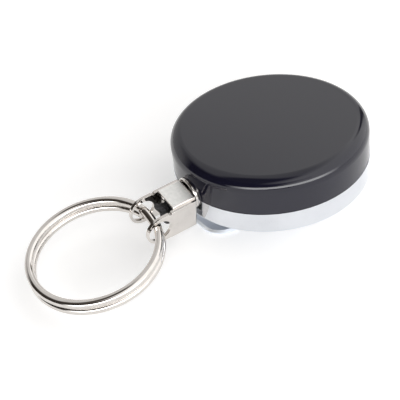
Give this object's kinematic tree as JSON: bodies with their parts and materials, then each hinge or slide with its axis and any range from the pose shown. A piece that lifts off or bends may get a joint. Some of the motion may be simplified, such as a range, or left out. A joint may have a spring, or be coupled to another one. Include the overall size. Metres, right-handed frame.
{
  "type": "retractable key reel",
  "caption": "Round retractable key reel: black domed-edge cover on a chrome case, belt clip behind, cord ending in a two-eyed fitting with a split ring.",
  "frame": {"origin": "on the case axis, at the flat underside of the belt clip", "axes": "+Z along the case axis, out of the cover; the cord and the ring leave along -X"},
  "size_m": [0.0754, 0.0402, 0.0161],
  "materials": {
    "black_paint": "satin black",
    "chrome_plate": "polished chrome",
    "nickel_plate": "polished nickel",
    "tumbled_nickel": "fine matte",
    "clip_steel": "plated spring steel",
    "plain_steel": "turned",
    "spring_steel": "blued strip",
    "white_nylon": "moulded",
    "black_cord": "braided"
  },
  "bodies": {
    "case": {"front_cover": "black_paint", "rear_case": "chrome_plate", "cord_ferrule": "nickel_plate", "centre_post": "plain_steel", "lower_washer": "plain_steel", "upper_washer": "plain_steel", "retaining_ring": "plain_steel", "clip_base": "clip_steel", "clip_rivets": "plain_steel"},
    "drum": {"cord_drum": "white_nylon", "spring_barrel": "white_nylon", "spring_cover": "white_nylon", "power_spring": "spring_steel", "cord_winding": "black_cord", "cord_anchor_knot": "black_cord"},
    "clip_arm": {"clip_tongue": "clip_steel"},
    "cord_end": {"cord_lead": "black_cord", "cord_end_knot": "black_cord"},
    "clevis": {"clevis_strap": "nickel_plate", "clevis_block": "tumbled_nickel"},
    "key_ring": {"split_ring": "nickel_plate"}
  },
  "joints": [
    {"name": "cord_pull", "type": "slide", "parent": "case", "child": "cord_end", "axis": [-1, 0, 0], "range_m": [0, 0.6], "stiffness_N_per_m": 0.8, "springref_m": -1.2, "deforming": ["cord_lead"]},
    {"name": "drum_spin", "type": "hinge", "parent": "case", "child": "drum", "pos_m": [0, 0, 0.01], "axis": [0, 0, 1], "range_deg": [0, 3440], "deforming": ["power_spring"]},
    {"name": "fitting_swivel", "type": "hinge", "parent": "cord_end", "child": "clevis", "pos_m": [-0.024, 0, 0.0069], "axis": [-1, 0, 0], "continuous": true},
    {"name": "ring_swing", "type": "hinge", "parent": "clevis", "child": "key_ring", "pos_m": [-0.02917, 0, 0.0069], "axis": [0, 0.9799, 0.1994], "range_deg": [-120, 130]},
    {"name": "clip_flex", "type": "hinge", "parent": "case", "child": "clip_arm", "pos_m": [0.0189, 0, 0.002], "axis": [0, -1, 0], "range_deg": [0, 8], "stiffness_Nm_per_rad": 1.5}
  ],
  "couplings": [
    {"joint": "drum_spin", "follows": "cord_pull", "rad_per_m": 100}
  ]
}
